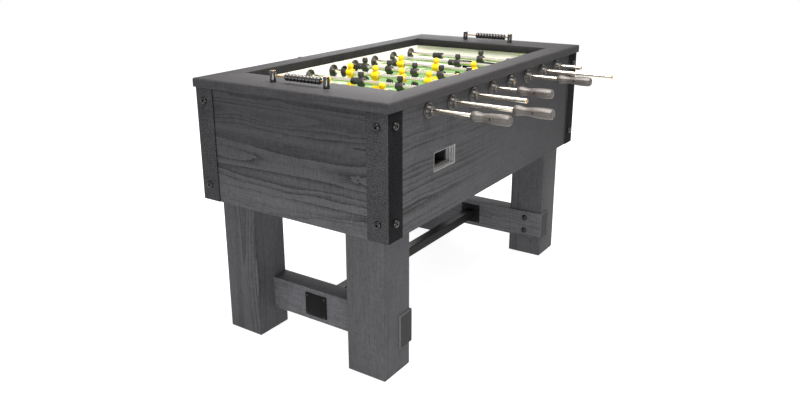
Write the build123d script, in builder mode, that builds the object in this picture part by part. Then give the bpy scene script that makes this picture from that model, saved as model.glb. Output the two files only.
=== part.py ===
from build123d import *
import os

os.makedirs("parts", exist_ok=True)

# Frame: X runs along the player rods, Y along the table, +Z up, floor at Z = 0.

# overall
table_length = 1423.0
table_width = 780.0
table_height = 910.0

# top rails
rail_thickness = 30.0
side_rail_width = 78.0
end_rail_width = 165.0
rail_round = 7.0
inner_round = 2.5

# cabinet
cabinet_depth = 387.0
rail_overhang_side = 11.5
rail_overhang_end = 8.0
panel_thickness = 22.0
board_thickness = 12.0
liner_thickness = 14.0
liner_drop = 32.0
cleat_size = 20.0
end_liner_setback = 13.5
goal_width = 180.0
goal_height = 40.0

# legs and lower frame
leg_width = 144.0
leg_depth = 141.0
leg_inset_side = 41.5
leg_inset_end = 37.5
leg_chamfer = 4.0
glide_radius = 30.0
glide_thickness = 4.0
stretcher_low = 83.0
stretcher_height = 117.0
stretcher_thickness = 71.0
stretcher_proud = 8.0
stretcher_overrun = 6.0
stretcher_bevel = 6.0
bar_size = 38.0
bar_wall = 2.0
plate_width = 90.0
plate_height = 82.0
plate_thickness = 4.0

# corner brackets
bracket_leg = 75.0
bracket_thickness = 4.0
bracket_bolt_inset = 36.5
bracket_bolt_margin = 42.0
bracket_bolt_lift = 55.0

# bolts and screws
bolt_head_radius = 12.5
bolt_head_height = 8.0
bolt_radius = 4.0
bolt_socket = 4.2
screw_head_radius = 4.5
screw_head_height = 2.0
screw_radius = 2.2
screw_length = 22.0
screw_inset = 8.0

# rods and bearings
rod_end_margin = 56.5
rod_drop = 30.0
rod_radius = 8.0
rod_bore_radius = 5.5
running_gap = 0.05
face_gap = 0.3
sleeve_radius = 12.0
flange_radius = 25.0
flange_thickness = 5.0
hub_radius = 15.0
hub_length = 14.5
disc_radius = 24.0
disc_thickness = 6.0
plug_depth = 12.0

# player figures
figure_head_radius = 12.5
figure_head_lift = 25.5
figure_hub_radius = 14.0
figure_hub_length = 30.0
figure_half_span = 20.0
figure_foot_drop = 55.0
foot_gap = 7.0
bumper_radius = 12.5
bumper_length = 20.0
collar_radius = 13.5
collar_length = 25.0

# slide travel each way, slack beyond it, and how far each rod's two ends stand past the bearings
keeper_travel = 60.0
pair_travel = 148.0
trio_travel = 96.0
five_travel = 29.0
keeper_slack = 14.0
pair_slack = 3.5
trio_slack = 2.0
five_slack = 1.0
keeper_bare = 42.0
pair_bare = 130.0
trio_bare = 77.0
five_bare = 19.0
keeper_grip = 231.0
pair_grip = 316.0
trio_grip = 236.0
five_grip = 190.0

# handles
grip_length = 125.0
grip_wall = 13.0

# scorers
scorer_half_span = 108.0
scorer_post_radius = 10.0
scorer_post_height = 36.0
scorer_post_round = 1.5
scorer_rod_radius = 2.5
scorer_rod_lift = 21.0
bead_radius = 12.0
bead_pitch = 14.0
bead_length = 13.8
bead_count = 10
bead_end_gap = 12.0

# ball return and serve hole
return_width = 134.0
return_height = 64.0
return_centre_y = 385.0
return_drop = 111.0
return_lip = 3.0
return_step = 9.0
return_step_depth = 20.0
return_depth = 73.5
ball_gate_width = 60.0
ball_gate_height = 38.0
serve_rise = 50.0
serve_hole_radius = 18.0
serve_tube_radius = 20.0
serve_flange_radius = 25.0
serve_flange_thickness = 3.0

# ball troughs
trough_wall = 3.0
tray_goal_margin = 30.0
tray_field_gap = 13.0
tray_depth_high = 30.0
tray_depth_low = 47.0
run_width = 65.0
run_tray_overlap = 7.0
run_fall = 36.0
run_floor_drop = 15.0
run_cup_reach = 55.0

# derived positions
half_length = table_length / 2
half_width = table_width / 2
rail_bottom = table_height - rail_thickness
open_x = half_width - side_rail_width
open_y = half_length - end_rail_width
cabinet_bottom = rail_bottom - cabinet_depth
panel_x = half_width - rail_overhang_side
panel_y = half_length - rail_overhang_end
leg_centre_x = panel_x - leg_inset_side - leg_width / 2
leg_centre_y = panel_y - leg_inset_end - leg_depth / 2
panel_in_x = panel_x - panel_thickness
panel_in_y = panel_y - panel_thickness
liner_out_x = open_x + liner_thickness
end_liner_y = open_y + end_liner_setback
end_liner_out = end_liner_y + liner_thickness
rod_z = rail_bottom - rod_drop
rod_pitch = 2 * (open_y - rod_end_margin) / 7
field_z = rod_z - figure_foot_drop - foot_gap
field_bottom = field_z - board_thickness
liner_bottom = field_bottom - cleat_size
return_centre_z = field_z - return_drop
cup_back = panel_x - return_depth
serve_lift = field_z + serve_rise
ball_gate_low = return_centre_z - run_floor_drop
ball_gate_high = ball_gate_low + ball_gate_height
tray_left = -goal_width / 2 - tray_goal_margin
tray_right = cup_back - run_width
tray_top = field_z - tray_field_gap
tray_floor_high = tray_top - tray_depth_high
tray_floor_low = tray_top - tray_depth_low
run_top = tray_floor_low + run_tray_overlap
run_floor_low = ball_gate_low
run_floor_high = run_floor_low + run_fall
run_end = return_centre_y - run_cup_reach
bracket_x = panel_x + bracket_thickness
bracket_y = panel_y + bracket_thickness
leg_inner_y = leg_centre_y - leg_depth / 2
stretcher_in = leg_inner_y - stretcher_proud
stretcher_out = stretcher_in + stretcher_thickness
stretcher_top = stretcher_low + stretcher_height
stretcher_mid = stretcher_low + stretcher_height / 2
stretcher_half = leg_centre_x + leg_width / 2 + stretcher_overrun
disc_face = open_x - disc_thickness
hub_end = panel_x + flange_thickness + hub_length
scorer_y = open_y + end_rail_width / 2
scorer_rod_z = table_height + scorer_rod_lift
bolt_long = stretcher_thickness + 24.0
bolt_short = bracket_thickness + panel_thickness
bolt_rise = 29.0

# the last figure or collar of a centred row stops short of the disc by its travel, a bumper and a slack
collar_centre = disc_face - keeper_travel - bumper_length - keeper_slack - collar_length / 2
pair_outer = disc_face - pair_travel - bumper_length - pair_slack - figure_half_span
trio_outer = disc_face - trio_travel - bumper_length - trio_slack - figure_half_span
five_outer = disc_face - five_travel - bumper_length - five_slack - figure_half_span

# each row: number, handle side, slide position at rest, figure offsets, bare reach, grip reach
keeper = ([0.0], hub_end + keeper_bare, hub_end + keeper_grip)
pair = ([-pair_outer, pair_outer], hub_end + pair_bare, hub_end + pair_grip)
trio = ([-trio_outer, 0.0, trio_outer], hub_end + trio_bare, hub_end + trio_grip)
five = ([-five_outer, -five_outer / 2, 0.0, five_outer / 2, five_outer], hub_end + five_bare, hub_end + five_grip)
rows = [
    (1, 1, 20.0, keeper),
    (2, 1, 2.0, pair),
    (3, -1, 95.0, trio),
    (4, 1, 10.0, five),
    (5, -1, -22.0, five),
    (6, 1, -9.0, trio),
    (7, -1, 124.0, pair),
    (8, -1, 43.0, keeper),
]
row_ys = [(number - 4.5) * rod_pitch for number, side, rest, kind in rows]

corners = [(-1, -1), (1, -1), (1, 1), (-1, 1)]


def slab(x0, x1, y0, y1, z0, z1, mode=Mode.ADD):
    """Add or cut a box between two corners."""
    with Locations(((x0 + x1) / 2, (y0 + y1) / 2, (z0 + z1) / 2)):
        Box(abs(x1 - x0), abs(y1 - y0), abs(z1 - z0), mode=mode)


def rod_cylinder(radius, x0, x1, y, z, mode=Mode.ADD):
    """Add or cut a cylinder that lies along X."""
    with Locations(((x0 + x1) / 2, y, z)):
        Cylinder(radius, abs(x1 - x0), rotation=(0, 90, 0), mode=mode)


def cross_cylinder(radius, x, y0, y1, z, mode=Mode.ADD):
    """Add or cut a cylinder that lies along Y."""
    with Locations((x, (y0 + y1) / 2, z)):
        Cylinder(radius, abs(y1 - y0), rotation=(90, 0, 0), mode=mode)


def save(builder, label):
    """Label a finished sub-part and write its STEP file."""
    builder.part.label = label
    export_step(builder.part, f"parts/{label}.step")


def bracket_bolt_heights():
    """Heights of the two bolts in each bracket leg."""
    return [rail_bottom - bracket_bolt_margin, cabinet_bottom + bracket_bolt_lift]


def cut_bracket_bolts():
    """Cut the bracket bolt holes through whatever is being built."""
    for sx, sy in corners:
        for z in bracket_bolt_heights():
            face_x = sx * (bracket_x - bracket_bolt_inset)
            face_y = sy * (bracket_y - bracket_bolt_inset)
            cross_cylinder(bolt_radius, face_x, sy * panel_in_y, sy * bracket_y, z, mode=Mode.SUBTRACT)
            rod_cylinder(bolt_radius, sx * panel_in_x, sx * bracket_x, face_y, z, mode=Mode.SUBTRACT)


def cut_stretcher_bolts():
    """Cut the bolt holes that join the stretchers to the legs."""
    for sx, sy in corners:
        for rise in (-bolt_rise, bolt_rise):
            cross_cylinder(
                bolt_radius,
                sx * leg_centre_x,
                sy * stretcher_in,
                sy * (stretcher_in + bolt_long),
                stretcher_mid + rise,
                mode=Mode.SUBTRACT,
            )


def plate_screw_spots():
    """Corner positions of the screws in a bar plate."""
    dx = plate_width / 2 - screw_inset
    dz = plate_height / 2 - screw_inset
    return [(sx * dx, stretcher_mid + sz * dz) for sx, sz in corners]


def cut_plate_screws():
    """Cut the plate screw holes on both faces of both stretchers."""
    for x, z in plate_screw_spots():
        for sy in (-1, 1):
            inner = stretcher_in - plate_thickness
            outer = stretcher_out + plate_thickness
            cross_cylinder(screw_radius, x, sy * inner, sy * (inner + screw_length), z, mode=Mode.SUBTRACT)
            cross_cylinder(screw_radius, x, sy * (outer - screw_length), sy * outer, z, mode=Mode.SUBTRACT)


# ---- top rails, mitred at the corners ----

rail_outlines = {
    "rail_near": [(-half_width, -half_length), (half_width, -half_length), (open_x, -open_y), (-open_x, -open_y)],
    "rail_far": [(half_width, half_length), (-half_width, half_length), (-open_x, open_y), (open_x, open_y)],
    "rail_right": [(half_width, -half_length), (half_width, half_length), (open_x, open_y), (open_x, -open_y)],
    "rail_left": [(-half_width, half_length), (-half_width, -half_length), (-open_x, -open_y), (-open_x, open_y)],
}

for label, outline in rail_outlines.items():
    is_end = label in ("rail_near", "rail_far")
    is_low = label in ("rail_near", "rail_left")
    along = Axis.X if is_end else Axis.Y
    across = Axis.Y if is_end else Axis.X
    with BuildPart() as rail:
        with BuildSketch(Plane.XY.offset(rail_bottom)):
            with BuildLine():
                Polyline(*outline, close=True)
            make_face()
        extrude(amount=rail_thickness)
        top_edges = rail.edges().filter_by(along).group_by(Axis.Z)[-1].sort_by(across)
        fillet([top_edges[0] if is_low else top_edges[-1]], radius=rail_round)
        top_edges = rail.edges().filter_by(along).group_by(Axis.Z)[-1].sort_by(across)
        fillet([top_edges[-1] if is_low else top_edges[0]], radius=inner_round)
        if is_end:
            for sx in (-1, 1):
                with Locations((sx * scorer_half_span, (-1 if is_low else 1) * scorer_y, table_height)):
                    Cylinder(screw_radius, 2 * screw_length, mode=Mode.SUBTRACT)
    save(rail, label)

# ---- cabinet panels ----

for label, sy in (("panel_near", -1), ("panel_far", 1)):
    with BuildPart() as end_panel:
        slab(-panel_x, panel_x, sy * panel_in_y, sy * panel_y, cabinet_bottom, rail_bottom)
        cut_bracket_bolts()
    save(end_panel, label)

for label, sx in (("panel_right", 1), ("panel_left", -1)):
    with BuildPart() as side_panel:
        slab(sx * panel_in_x, sx * panel_x, -panel_in_y, panel_in_y, cabinet_bottom, rail_bottom)
        for y in row_ys:
            rod_cylinder(sleeve_radius, sx * panel_in_x, sx * panel_x, y, rod_z, mode=Mode.SUBTRACT)
        slab(
            sx * panel_in_x,
            sx * panel_x,
            -sx * return_centre_y - return_width / 2,
            -sx * return_centre_y + return_width / 2,
            return_centre_z - return_height / 2,
            return_centre_z + return_height / 2,
            mode=Mode.SUBTRACT,
        )
        if sx < 0:
            rod_cylinder(serve_tube_radius, -panel_x, -panel_in_x, 0, serve_lift, mode=Mode.SUBTRACT)
        cut_bracket_bolts()
    save(side_panel, label)

# ---- white inner walls with the cleats that carry the field ----

with BuildPart() as side_liners:
    for sx in (-1, 1):
        slab(sx * open_x, sx * liner_out_x, -end_liner_y, end_liner_y, liner_bottom, rail_bottom)
        slab(sx * (open_x - cleat_size), sx * open_x, -end_liner_y, end_liner_y, liner_bottom, field_bottom)
        for y in row_ys:
            rod_cylinder(sleeve_radius, sx * open_x, sx * liner_out_x, y, rod_z, mode=Mode.SUBTRACT)
    rod_cylinder(serve_tube_radius, -liner_out_x, -open_x, 0, serve_lift, mode=Mode.SUBTRACT)
save(side_liners, "side_liners")

with BuildPart() as end_liners:
    for sy in (-1, 1):
        slab(-panel_in_x, panel_in_x, sy * end_liner_y, sy * end_liner_out, liner_bottom, rail_bottom)
        slab(
            -goal_width / 2,
            goal_width / 2,
            sy * end_liner_y,
            sy * end_liner_out,
            field_z,
            field_z + goal_height,
            mode=Mode.SUBTRACT,
        )
save(end_liners, "end_liners")

with BuildPart() as playfield:
    slab(-open_x, open_x, -end_liner_y, end_liner_y, field_bottom, field_z)
save(playfield, "playfield")

with BuildPart() as bottom_board:
    slab(-panel_in_x, panel_in_x, -panel_in_y, panel_in_y, cabinet_bottom, cabinet_bottom + board_thickness)
save(bottom_board, "bottom_board")

# ---- corner brackets and the domed bolts ----

with BuildPart() as corner_brackets:
    for sx, sy in corners:
        slab(
            sx * (bracket_x - bracket_leg),
            sx * bracket_x,
            sy * panel_y,
            sy * bracket_y,
            cabinet_bottom,
            rail_bottom,
        )
        slab(
            sx * panel_x,
            sx * bracket_x,
            sy * (bracket_y - bracket_leg),
            sy * bracket_y,
            cabinet_bottom,
            rail_bottom,
        )
    fillet(
        [
            e
            for e in corner_brackets.edges().filter_by(Axis.Z)
            if abs(e.center().X) > bracket_x - 0.1 and abs(e.center().Y) > bracket_y - 0.1
        ],
        radius=1.5,
    )
    cut_bracket_bolts()
save(corner_brackets, "corner_brackets")


def bolt_form(shank):
    """A domed bolt with a hexagon socket; its head stands on +Z from the origin."""
    with BuildPart() as bolt:
        with Locations((0, 0, bolt_head_height / 2)):
            Cylinder(bolt_head_radius, bolt_head_height)
        fillet(bolt.edges().group_by(Axis.Z)[-1], radius=bolt_head_height - 1.0)
        with Locations((0, 0, -shank / 2)):
            Cylinder(bolt_radius, shank)
        with BuildSketch(Plane.XY.offset(bolt_head_height)):
            RegularPolygon(bolt_socket, 6)
        extrude(amount=-bolt_head_height * 0.6, mode=Mode.SUBTRACT)
    return bolt.part


short_bolt = bolt_form(bolt_short)
long_bolt = bolt_form(bolt_long)

with BuildPart() as dome_bolts:
    for sx, sy in corners:
        end_turn = (90, 0, 0) if sy < 0 else (-90, 0, 0)
        side_turn = (0, 90, 0) if sx > 0 else (0, -90, 0)
        inward_turn = (-90, 0, 0) if sy < 0 else (90, 0, 0)
        for z in bracket_bolt_heights():
            with Locations(Location((sx * (bracket_x - bracket_bolt_inset), sy * bracket_y, z), end_turn)):
                add(short_bolt)
            with Locations(Location((sx * bracket_x, sy * (bracket_y - bracket_bolt_inset), z), side_turn)):
                add(short_bolt)
        for rise in (-bolt_rise, bolt_rise):
            with Locations(Location((sx * leg_centre_x, sy * stretcher_in, stretcher_mid + rise), inward_turn)):
                add(long_bolt)
save(dome_bolts, "dome_bolts")

# ---- legs, glides and stretchers ----

with BuildPart() as legs:
    for sx, sy in corners:
        slab(
            sx * (leg_centre_x - leg_width / 2),
            sx * (leg_centre_x + leg_width / 2),
            sy * (leg_centre_y - leg_depth / 2),
            sy * (leg_centre_y + leg_depth / 2),
            glide_thickness,
            cabinet_bottom,
        )
    chamfer(legs.edges().group_by(Axis.Z)[0], length=leg_chamfer)
    for sy in (-1, 1):
        slab(
            -stretcher_half,
            stretcher_half,
            sy * stretcher_in,
            sy * stretcher_out,
            stretcher_low,
            stretcher_top,
            mode=Mode.SUBTRACT,
        )
    cut_stretcher_bolts()
save(legs, "legs")

with BuildPart() as leg_glides:
    for sx, sy in corners:
        with Locations((sx * leg_centre_x, sy * leg_centre_y, glide_thickness / 2)):
            Cylinder(glide_radius, glide_thickness)
    chamfer(leg_glides.edges().group_by(Axis.Z)[0], length=1.0)
save(leg_glides, "leg_glides")

for label, sy in (("stretcher_near", -1), ("stretcher_far", 1)):
    with BuildPart() as stretcher:
        slab(-stretcher_half, stretcher_half, sy * stretcher_in, sy * stretcher_out, stretcher_low, stretcher_top)
        end_faces = stretcher.faces().filter_by(Axis.X)
        chamfer(end_faces.edges(), length=stretcher_bevel * 0.6)
        cut_stretcher_bolts()
        cut_plate_screws()
    save(stretcher, label)

with BuildPart() as centre_bar:
    bar_end = stretcher_in - plate_thickness
    with BuildSketch(Plane.XZ.offset(-bar_end)):
        with Locations((0, stretcher_mid)):
            RectangleRounded(bar_size, bar_size, 2.5)
            RectangleRounded(bar_size - 2 * bar_wall, bar_size - 2 * bar_wall, 1.0, mode=Mode.SUBTRACT)
    extrude(amount=2 * bar_end)
save(centre_bar, "centre_bar")

with BuildPart() as bar_plates:
    for sy in (-1, 1):
        for low in (stretcher_in - plate_thickness, stretcher_out):
            slab(
                -plate_width / 2,
                plate_width / 2,
                sy * low,
                sy * (low + plate_thickness),
                stretcher_mid - plate_height / 2,
                stretcher_mid + plate_height / 2,
            )
    cut_plate_screws()
save(bar_plates, "bar_plates")

with BuildPart() as plate_screws:
    for x, z in plate_screw_spots():
        for sy in (-1, 1):
            inner = stretcher_in - plate_thickness
            outer = stretcher_out + plate_thickness
            cross_cylinder(screw_radius, x, sy * inner, sy * (inner + screw_length), z)
            cross_cylinder(screw_head_radius, x, sy * (inner - screw_head_height), sy * inner, z)
            cross_cylinder(screw_radius, x, sy * (outer - screw_length), sy * outer, z)
            cross_cylinder(screw_head_radius, x, sy * outer, sy * (outer + screw_head_height), z)
save(plate_screws, "plate_screws")

# ---- rod bearings, one through each wall at each rod ----

with BuildPart() as rod_bearings:
    for y in row_ys:
        for sx in (-1, 1):
            rod_cylinder(flange_radius, sx * panel_x, sx * (panel_x + flange_thickness), y, rod_z)
            with Locations(
                Location((sx * (panel_x + flange_thickness + hub_length / 2), y, rod_z), (0, 90 * sx, 0))
            ):
                Cone(hub_radius + 2.0, hub_radius - 1.5, hub_length)
            rod_cylinder(sleeve_radius, sx * open_x, sx * panel_x, y, rod_z)
            rod_cylinder(disc_radius, sx * disc_face, sx * open_x, y, rod_z)
            bore = rod_radius + running_gap
            rod_cylinder(bore, sx * disc_face, sx * hub_end, y, rod_z, mode=Mode.SUBTRACT)
save(rod_bearings, "rod_bearings")

# ---- ball return cups, troughs and the serve cup ----

with BuildPart() as ball_return_cups:
    for sx in (-1, 1):
        cy = -sx * return_centre_y
        half_y = return_width / 2
        half_z = return_height / 2
        low_z = return_centre_z - half_z
        high_z = return_centre_z + half_z
        slab(sx * cup_back, sx * panel_x, cy - half_y, cy + half_y, low_z, high_z)
        slab(
            sx * (panel_x - return_step_depth),
            sx * panel_x,
            cy - half_y + return_lip,
            cy + half_y - return_lip,
            low_z + return_lip,
            high_z - return_lip,
            mode=Mode.SUBTRACT,
        )
        slab(
            sx * (cup_back + trough_wall),
            sx * panel_x,
            cy - half_y + return_step,
            cy + half_y - return_step,
            low_z + return_step,
            high_z - return_step,
            mode=Mode.SUBTRACT,
        )
        slab(
            sx * cup_back,
            sx * (cup_back + trough_wall),
            cy - ball_gate_width / 2,
            cy + ball_gate_width / 2,
            ball_gate_low,
            ball_gate_high,
            mode=Mode.SUBTRACT,
        )
save(ball_return_cups, "ball_return_cups")

with BuildPart() as trough_form:
    with BuildSketch(Plane.XZ.offset(end_liner_out)):
        with BuildLine():
            Polyline(
                (tray_left, tray_floor_high - trough_wall),
                (tray_right, tray_floor_low - trough_wall),
                (tray_right, tray_top),
                (tray_left, tray_top),
                close=True,
            )
        make_face()
    extrude(amount=panel_in_y - end_liner_out)
    with BuildSketch(Plane.XZ.offset(end_liner_out + trough_wall)):
        with BuildLine():
            Polyline(
                (tray_left + trough_wall, tray_floor_high),
                (tray_right, tray_floor_low),
                (tray_right, tray_top),
                (tray_left + trough_wall, tray_top),
                close=True,
            )
        make_face()
    extrude(amount=panel_in_y - end_liner_out - 2 * trough_wall, mode=Mode.SUBTRACT)
    with BuildSketch(Plane.YZ.offset(tray_right)):
        with BuildLine():
            Polyline(
                (-panel_in_y, run_floor_high - trough_wall),
                (-run_end, run_floor_low - trough_wall),
                (-run_end, run_top),
                (-panel_in_y, run_top),
                close=True,
            )
        make_face()
    extrude(amount=cup_back - tray_right)
    with BuildSketch(Plane.YZ.offset(tray_right + trough_wall)):
        with BuildLine():
            Polyline(
                (-panel_in_y + trough_wall, run_floor_high),
                (-run_end - trough_wall, run_floor_low),
                (-run_end - trough_wall, run_top),
                (-panel_in_y + trough_wall, run_top),
                close=True,
            )
        make_face()
    extrude(amount=cup_back - tray_right - 2 * trough_wall, mode=Mode.SUBTRACT)
    slab(
        tray_right,
        tray_right + trough_wall,
        -panel_in_y + trough_wall,
        -end_liner_out - trough_wall,
        tray_floor_low,
        run_top,
        mode=Mode.SUBTRACT,
    )
    slab(
        cup_back - trough_wall,
        cup_back,
        -return_centre_y - ball_gate_width / 2,
        -return_centre_y + ball_gate_width / 2,
        run_floor_low,
        run_top,
        mode=Mode.SUBTRACT,
    )

with BuildPart() as ball_troughs:
    add(trough_form.part)
    add(trough_form.part.rotate(Axis.Z, 180))
save(ball_troughs, "ball_troughs")

with BuildPart() as serve_cup:
    rod_cylinder(serve_flange_radius - 3.0, -open_x, -open_x + serve_flange_thickness, 0, serve_lift)
    rod_cylinder(serve_tube_radius, -panel_x, -open_x, 0, serve_lift)
    rod_cylinder(serve_flange_radius, -panel_x - serve_flange_thickness, -panel_x, 0, serve_lift)
    rod_cylinder(
        serve_hole_radius,
        -panel_x - serve_flange_thickness,
        -open_x + serve_flange_thickness,
        0,
        serve_lift,
        mode=Mode.SUBTRACT,
    )
save(serve_cup, "serve_cup")

# ---- scorers on the end rails ----

with BuildPart() as scorer_frames:
    for sy in (-1, 1):
        for sx in (-1, 1):
            with Locations((sx * scorer_half_span, sy * scorer_y, table_height + scorer_post_height / 2)):
                Cylinder(scorer_post_radius, scorer_post_height)
    fillet(scorer_frames.edges().group_by(Axis.Z)[-1], radius=scorer_post_round)
    for sy in (-1, 1):
        for sx in (-1, 1):
            with Locations((sx * scorer_half_span, sy * scorer_y, table_height)):
                Cylinder(screw_radius, 2 * screw_length)
    for sy in (-1, 1):
        rod_cylinder(scorer_rod_radius, -scorer_half_span, scorer_half_span, sy * scorer_y, scorer_rod_z)
save(scorer_frames, "scorer_frames")

with BuildPart() as bead_form:
    Cylinder(bead_radius, bead_length, rotation=(0, 90, 0))
    fillet(bead_form.edges(), radius=3.5)
    Cylinder(scorer_rod_radius + running_gap, bead_length, rotation=(0, 90, 0), mode=Mode.SUBTRACT)

bead_right = scorer_half_span - scorer_post_radius - bead_end_gap

for label, sy in (("scorer_beads_near", -1), ("scorer_beads_far", 1)):
    with BuildPart() as scorer_beads:
        for i in range(bead_count):
            with Locations((bead_right - (i + 0.5) * bead_pitch, sy * scorer_y, scorer_rod_z)):
                add(bead_form.part)
    save(scorer_beads, label)

# ---- player figure and handle forms, centred on the rod axis ----

with BuildPart() as figure_form:
    Cylinder(figure_hub_radius, figure_hub_length, rotation=(0, 90, 0))
    with BuildSketch(Plane.XY):
        Ellipse(13.5, 12.0)
    with BuildSketch(Plane.XY.offset(12.0)):
        Ellipse(14.0, 9.0)
    with BuildSketch(Plane.XY.offset(18.0)):
        Ellipse(7.0, 6.0)
    loft()
    with Locations((0, 0, figure_head_lift)):
        Sphere(figure_head_radius)
    with Locations((0, 0, 11.2)):
        Box(2 * figure_half_span, 12.0, 5.6)
    with Locations((0, 0, -11.2)):
        Box(2 * figure_half_span - 4.0, 12.0, 5.6)
    with BuildSketch(Plane.XY.offset(-8.0)):
        Rectangle(22.0, 18.0)
    with BuildSketch(Plane.XY.offset(-figure_foot_drop + 13.0)):
        Rectangle(14.0, 12.0)
    loft()
    with BuildSketch(Plane.YZ):
        with BuildLine():
            Polyline(
                (-8.0, -figure_foot_drop + 14.0),
                (-11.0, -figure_foot_drop + 7.0),
                (-9.0, -figure_foot_drop),
                (9.0, -figure_foot_drop),
                (11.0, -figure_foot_drop + 7.0),
                (8.0, -figure_foot_drop + 14.0),
                close=True,
            )
        make_face()
    extrude(amount=12.0, both=True)
    Cylinder(rod_radius, 2 * figure_half_span + 2.0, rotation=(0, 90, 0), mode=Mode.SUBTRACT)

with BuildPart() as grip_form:
    with BuildSketch(Plane.XZ):
        with BuildLine():
            Line((0, 0), (0, 11.5))
            Spline(
                (0, 11.5),
                (5, 15.2),
                (16, 16.4),
                (30, 14.2),
                (42, 12.0),
                (54, 13.0),
                (74, 15.8),
                (98, 16.5),
                (114, 15.6),
                (grip_length - 3.0, 14.2),
            )
            Line((grip_length - 3.0, 14.2), (grip_length, 11.5))
            Line((grip_length, 11.5), (grip_length, 0))
            Line((grip_length, 0), (0, 0))
        make_face()
    revolve(axis=Axis.X)
    rod_cylinder(rod_radius, 0, grip_length - grip_wall, 0, 0, mode=Mode.SUBTRACT)

# ---- the eight rods ----

for number, side, rest, kind in rows:
    offsets, bare_reach, grip_reach = kind
    y = (number - 4.5) * rod_pitch
    bare_x = rest - side * bare_reach
    grip_x = rest + side * grip_reach
    rod_x = grip_x - side * grip_wall
    outer_figure = max(offsets)

    with BuildPart() as rod:
        rod_cylinder(rod_radius, bare_x, rod_x, y, rod_z)
        rod_cylinder(rod_bore_radius, bare_x + side * plug_depth, rod_x, y, rod_z, mode=Mode.SUBTRACT)
        bare_edges = rod.edges().filter_by(GeomType.CIRCLE).sort_by_distance((bare_x, y, rod_z))
        chamfer([e for e in bare_edges if abs(e.center().X - bare_x) < 0.01], length=1.5)
    save(rod, f"rod_{number}_tube")

    with BuildPart() as figures:
        for offset in offsets:
            with Locations((rest + offset, y, rod_z)):
                add(figure_form.part)
        if len(offsets) == 1:
            for sx in (-1, 1):
                middle = rest + sx * collar_centre
                rod_cylinder(collar_radius, middle - collar_length / 2, middle + collar_length / 2, y, rod_z)
                rod_cylinder(
                    rod_radius,
                    middle - collar_length / 2,
                    middle + collar_length / 2,
                    y,
                    rod_z,
                    mode=Mode.SUBTRACT,
                )
    save(figures, f"rod_{number}_figures")

    with BuildPart() as handle:
        turn = (0, 0, 0) if side > 0 else (0, 0, 180)
        with Locations(Location((grip_x - side * grip_length, y, rod_z), turn)):
            add(grip_form.part)
    save(handle, f"rod_{number}_handle")

    with BuildPart() as bumpers:
        start = outer_figure + figure_half_span + face_gap
        if len(offsets) == 1:
            start = collar_centre + collar_length / 2 + face_gap
        for sx in (-1, 1):
            near_x = rest + sx * start
            far_x = near_x + sx * bumper_length
            rod_cylinder(bumper_radius, near_x, far_x, y, rod_z)
            rod_cylinder(rod_radius + running_gap, near_x, far_x, y, rod_z, mode=Mode.SUBTRACT)
    save(bumpers, f"rod_{number}_bumpers")
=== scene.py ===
import math
import bmesh
import bpy
from mathutils import Matrix, Vector


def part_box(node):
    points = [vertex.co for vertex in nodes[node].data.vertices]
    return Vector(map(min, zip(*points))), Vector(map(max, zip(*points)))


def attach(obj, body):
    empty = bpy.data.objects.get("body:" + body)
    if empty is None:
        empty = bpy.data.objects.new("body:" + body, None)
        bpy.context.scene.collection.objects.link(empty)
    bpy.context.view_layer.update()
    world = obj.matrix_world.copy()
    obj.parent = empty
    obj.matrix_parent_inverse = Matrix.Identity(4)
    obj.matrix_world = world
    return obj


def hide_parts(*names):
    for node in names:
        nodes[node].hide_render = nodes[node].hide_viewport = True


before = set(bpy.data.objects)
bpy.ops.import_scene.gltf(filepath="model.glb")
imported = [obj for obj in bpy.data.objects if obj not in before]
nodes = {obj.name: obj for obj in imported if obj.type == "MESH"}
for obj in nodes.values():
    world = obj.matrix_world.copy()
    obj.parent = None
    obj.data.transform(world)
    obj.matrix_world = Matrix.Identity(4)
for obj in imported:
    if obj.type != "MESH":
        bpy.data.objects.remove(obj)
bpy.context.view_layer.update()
mm = 0.001
print("frame loaded with", len(nodes), "nodes")


def feed(tree, node, inputs):
    # links sockets into a shader node and sets its plain values
    for key, value in inputs.items():
        if isinstance(value, bpy.types.NodeSocket):
            tree.links.new(value, node.inputs[key])
        else:
            node.inputs[key].default_value = value


def put(tree, kind, inputs=None, **settings):
    # adds one shader node
    made = tree.nodes.new(kind)
    for key, value in settings.items():
        setattr(made, key, value)
    feed(tree, made, inputs or {})
    return made


def rgb(grey, warm=0.0):
    # a near-neutral colour, warmer or cooler by a little
    return (grey * (1 + warm), grey, grey * (1 - warm), 1)


def noise(tree, vector, size, detail=3.0, rough=0.55, twist=0.0):
    sized = put(tree, "ShaderNodeVectorMath", {0: vector, 1: size}, operation="MULTIPLY").outputs[0]
    made = put(tree, "ShaderNodeTexNoise", {
        "Vector": sized, "Scale": 1.0, "Detail": detail, "Roughness": rough, "Distortion": twist})
    return made.outputs["Fac"]


def fit(tree, value, low, high, outLow=0.0, outHigh=1.0):
    made = put(tree, "ShaderNodeMapRange", {
        "Value": value, "From Min": low, "From Max": high, "To Min": outLow, "To Max": outHigh})
    return made.outputs["Result"]


def sums(tree, operation, first, second=0.0):
    return put(tree, "ShaderNodeMath", {0: first, 1: second}, operation=operation).outputs[0]


def times(tree, first, second):
    return sums(tree, "MULTIPLY", first, second)


def plus(tree, first, second):
    return sums(tree, "ADD", first, second)


def split(tree, vector):
    return put(tree, "ShaderNodeSeparateXYZ", {0: vector}).outputs


def facing(tree):
    return split(tree, put(tree, "ShaderNodeNewGeometry").outputs["Normal"])


def blendColours(tree, factor, first, second):
    return put(tree, "ShaderNodeMix", {0: factor, 6: first, 7: second}, data_type="RGBA").outputs[2]


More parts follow.
